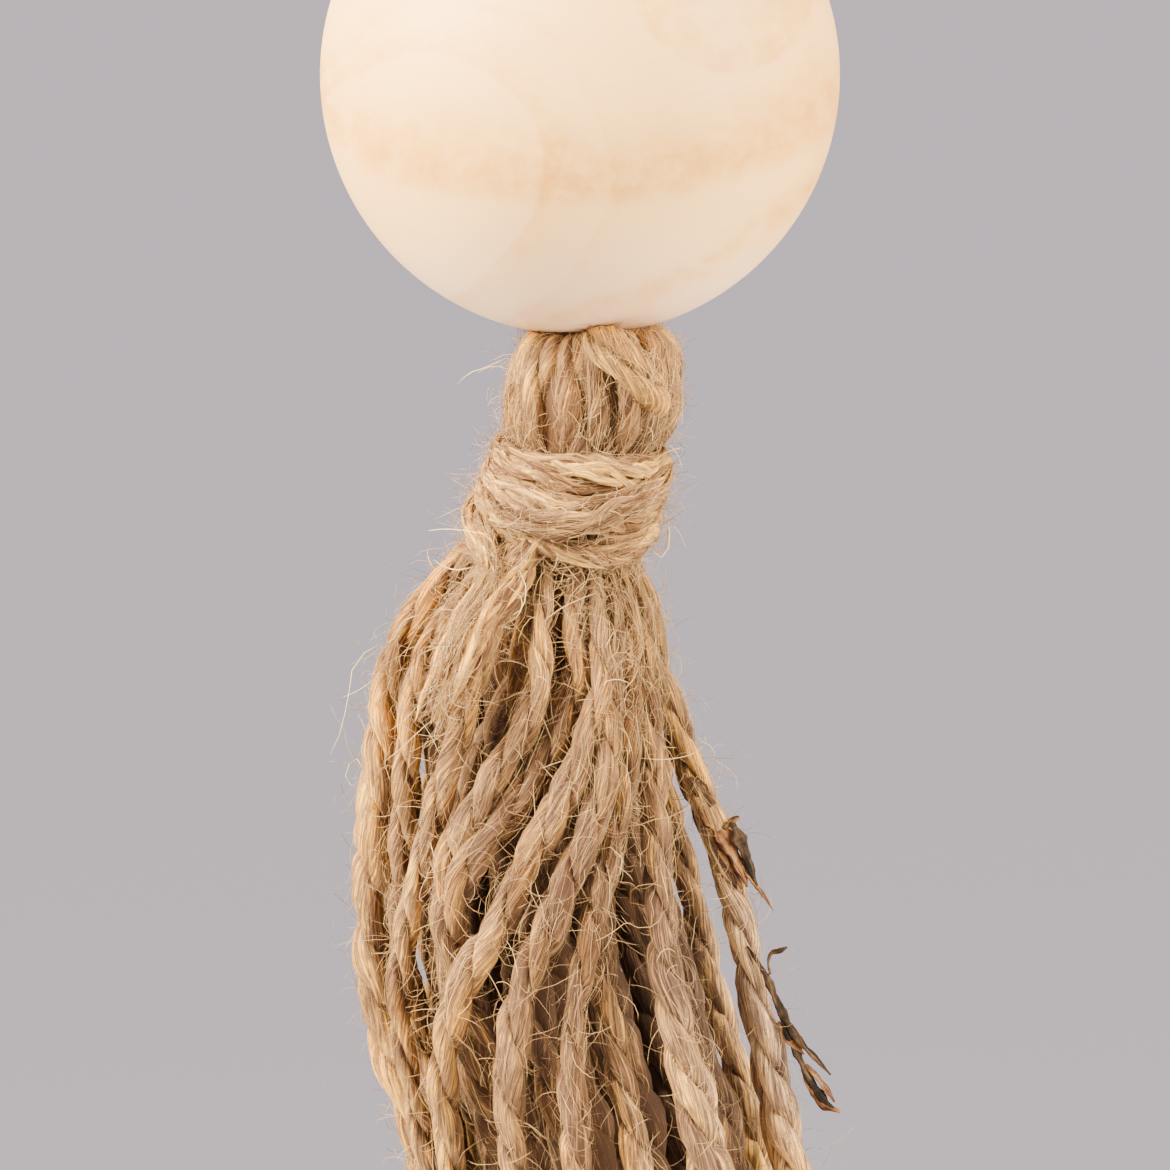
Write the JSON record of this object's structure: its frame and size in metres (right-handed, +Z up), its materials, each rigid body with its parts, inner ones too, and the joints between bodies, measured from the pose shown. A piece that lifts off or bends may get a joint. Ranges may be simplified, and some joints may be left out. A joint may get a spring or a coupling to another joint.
{
  "type": "jute tassel on a wooden bead",
  "caption": "Hanging tassel of folded two-ply jute twine, bound at its neck with a loose end, under a drilled round wooden bead on a knotted tie.",
  "frame": {"origin": "hang point, at the top of the tie's trimmed tuft above the bead", "axes": "+Z up along the bead's bore, the front with the loose end of the binding towards -Y, +X to the right seen from the front"},
  "size_m": [0.0401, 0.0398, 0.1558],
  "materials": {
    "wood": "sanded pale wood with a thin satin wax",
    "jute": "hairy two-ply jute twine",
    "pale_jute": "paler, loosely laid jute twine",
    "tie_jute": "hairy two-ply jute twine"
  },
  "bodies": {
    "root": {"bead": "wood", "bundle": "jute", "binding": "pale_jute", "tie": "tie_jute"}
  },
  "joints": []
}
